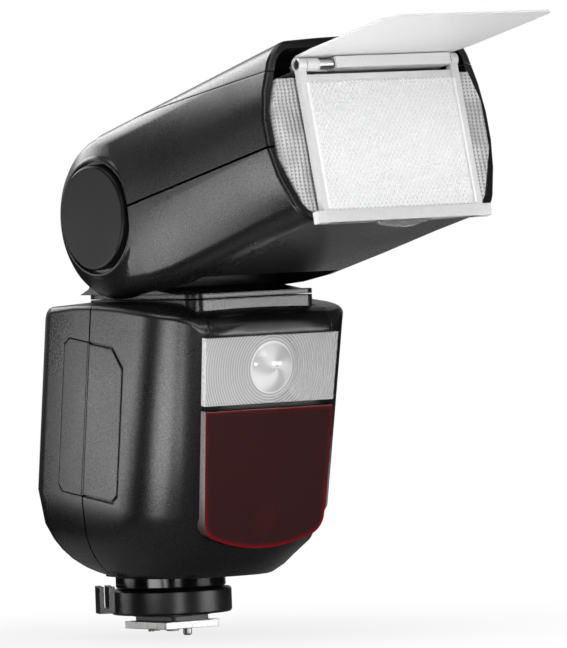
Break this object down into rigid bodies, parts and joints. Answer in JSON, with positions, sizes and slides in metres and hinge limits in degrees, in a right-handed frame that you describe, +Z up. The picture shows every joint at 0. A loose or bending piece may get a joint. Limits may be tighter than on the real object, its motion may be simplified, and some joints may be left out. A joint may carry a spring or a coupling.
{
  "type": "speedlight flash",
  "caption": "Shoe-mount speedlight flash with a panning, tilting zoom head, wide panel, bounce card, modelling lamp, red assist window and locking foot.",
  "frame": {"origin": "centre of the underside of the hot-shoe foot plate", "axes": "+Z up from the shoe, front of the flash along -Y, +X to the right seen from the front"},
  "size_m": [0.0756, 0.1642, 0.1659],
  "materials": {
    "shell": "fine-grained matt dark grey",
    "satin_black": "satin",
    "gloss_black": "polished",
    "foot_metal": "machined",
    "contact_metal": "plated",
    "clear": "clear moulded",
    "red_clear": "dark red, polished",
    "card_white": "translucent matt",
    "mirror": "bright",
    "board": "solder mask",
    "display": "display glass",
    "rubber": "matt",
    "steel": "turned",
    "capacitor": "sleeved",
    "lamp": "phosphor",
    "red_key": "satin"
  },
  "bodies": {
    "body": {"foot_plate": "foot_metal", "foot_stem": "satin_black", "foot_spindle": "satin_black", "foot_collar": "gloss_black", "rear_shell": "shell", "front_shell": "shell", "front_visor": "gloss_black", "lamp_lens": "clear", "lamp_reflector": "mirror", "modelling_led": "lamp", "red_window": "red_clear", "assist_lamp": "red_clear", "data_port": "steel", "sync_jack": "satin_black", "battery_contacts": "contact_metal", "display_window": "gloss_black", "display_panel": "display", "main_board": "board", "main_capacitor": "capacitor", "case_screws": "steel", "swivel_base": "shell"},
    "lock_ring": {"lock_ring": "satin_black", "lock_lever": "satin_black"},
    "lock_pin": {"lock_pin": "steel"},
    "sync_contact": {"sync_contact": "contact_metal"},
    "data_contacts": {"data_contacts": "contact_metal"},
    "yoke": {"yoke": "shell", "swivel_retainer": "steel"},
    "head": {"tilt_axle": "steel", "hub_cap_left": "satin_black", "hub_cap_right": "satin_black", "head_lower_shell": "shell", "head_upper_shell": "shell", "head_top_cover": "shell", "flash_lens": "clear", "panel_carrier": "card_white", "hinge_pins": "steel", "zoom_motor": "steel", "guide_rods": "steel"},
    "wide_panel": {"wide_panel": "clear"},
    "bounce_card": {"bounce_card": "card_white"},
    "zoom_carriage": {"zoom_carriage": "satin_black", "flash_reflector": "mirror", "flash_tube": "clear"},
    "zoom_screw": {"zoom_screw": "steel"},
    "battery": {"battery_pack": "satin_black"},
    "battery_latch": {"battery_latch": "shell"},
    "port_cover": {"port_cover": "rubber"},
    "select_dial": {"select_dial": "satin_black"},
    "set_button": {"set_button": "satin_black"},
    "function_key_1": {"function_key_1": "satin_black"},
    "function_key_2": {"function_key_2": "satin_black"},
    "function_key_3": {"function_key_3": "satin_black"},
    "function_key_4": {"function_key_4": "satin_black"},
    "mode_button": {"mode_button": "satin_black"},
    "test_button": {"test_button": "red_key"},
    "power_switch": {"power_switch": "satin_black"}
  },
  "joints": [
    {"name": "lock_turn", "type": "hinge", "parent": "body", "child": "lock_ring", "pos_m": [0, 0, 0.007], "axis": [0, 0, 1], "range_deg": [0, 75]},
    {"name": "lock_pin_slide", "type": "slide", "parent": "body", "child": "lock_pin", "axis": [0, 0, 1], "range_m": [0, 0.0023]},
    {"name": "sync_contact_press", "type": "slide", "parent": "body", "child": "sync_contact", "axis": [0, 0, 1], "range_m": [0, 0.0008], "stiffness_N_per_m": 400, "springref_m": -0.0006},
    {"name": "data_contacts_press", "type": "slide", "parent": "body", "child": "data_contacts", "axis": [0, 0, 1], "range_m": [0, 0.0008], "stiffness_N_per_m": 400, "springref_m": -0.0006},
    {"name": "pan", "type": "hinge", "parent": "body", "child": "yoke", "pos_m": [0, -0.0114, 0.09], "axis": [0, 0, 1], "range_deg": [-180, 150]},
    {"name": "tilt", "type": "hinge", "parent": "yoke", "child": "head", "pos_m": [0, -0.0114, 0.1126], "axis": [-1, 0, 0], "range_deg": [-9, 107]},
    {"name": "wide_panel_swing", "type": "hinge", "parent": "head", "child": "wide_panel", "pos_m": [0, -0.09781, 0.15174], "axis": [-1, 0, 0], "range_deg": [0, 85]},
    {"name": "card_slide", "type": "slide", "parent": "head", "child": "bounce_card", "axis": [0, -0.9744, 0.225], "range_m": [-0.042, 0]},
    {"name": "zoom", "type": "slide", "parent": "head", "child": "zoom_carriage", "axis": [0, -0.9744, 0.225], "range_m": [-0.01, 0.01]},
    {"name": "zoom_screw_turn", "type": "hinge", "parent": "head", "child": "zoom_screw", "pos_m": [0, -0.05039, 0.10374], "axis": [0, -0.9744, 0.225], "range_deg": [-460, 460]},
    {"name": "battery_slide", "type": "slide", "parent": "body", "child": "battery", "axis": [1, 0, 0], "range_m": [0, 0.045]},
    {"name": "battery_latch_press", "type": "slide", "parent": "battery", "child": "battery_latch", "axis": [-1, 0, 0], "range_m": [0, 0.0011], "stiffness_N_per_m": 400, "springref_m": -0.0006},
    {"name": "port_cover_open", "type": "hinge", "parent": "body", "child": "port_cover", "pos_m": [-0.03175, -0.00673, 0.05842], "axis": [0, -0.1305, 0.9914], "range_deg": [0, 100]},
    {"name": "dial_turn", "type": "hinge", "parent": "body", "child": "select_dial", "pos_m": [0, 0.021, 0.03585], "axis": [0, 0.9914, 0.1305], "continuous": true},
    {"name": "set_press", "type": "slide", "parent": "body", "child": "set_button", "axis": [0, -0.9914, -0.1305], "range_m": [0, 0.0007], "stiffness_N_per_m": 400, "springref_m": -0.0006},
    {"name": "function_1_press", "type": "slide", "parent": "body", "child": "function_key_1", "axis": [0, -0.9914, -0.1305], "range_m": [0, 0.0007], "stiffness_N_per_m": 400, "springref_m": -0.0006},
    {"name": "function_2_press", "type": "slide", "parent": "body", "child": "function_key_2", "axis": [0, -0.9914, -0.1305], "range_m": [0, 0.0007], "stiffness_N_per_m": 400, "springref_m": -0.0006},
    {"name": "function_3_press", "type": "slide", "parent": "body", "child": "function_key_3", "axis": [0, -0.9914, -0.1305], "range_m": [0, 0.0007], "stiffness_N_per_m": 400, "springref_m": -0.0006},
    {"name": "function_4_press", "type": "slide", "parent": "body", "child": "function_key_4", "axis": [0, -0.9914, -0.1305], "range_m": [0, 0.0007], "stiffness_N_per_m": 400, "springref_m": -0.0006},
    {"name": "mode_press", "type": "slide", "parent": "body", "child": "mode_button", "axis": [0, -0.9914, -0.1305], "range_m": [0, 0.0007], "stiffness_N_per_m": 400, "springref_m": -0.0006},
    {"name": "test_press", "type": "slide", "parent": "body", "child": "test_button", "axis": [0, -0.9914, -0.1305], "range_m": [0, 0.0007], "stiffness_N_per_m": 400, "springref_m": -0.0006},
    {"name": "power_slide", "type": "slide", "parent": "body", "child": "power_switch", "axis": [1, 0, 0], "range_m": [-0.0015, 0.0015]}
  ],
  "couplings": [
    {"joint": "lock_pin_slide", "follows": "lock_turn", "m_per_rad": 0.00168},
    {"joint": "zoom_screw_turn", "follows": "zoom", "rad_per_m": 785.4}
  ]
}
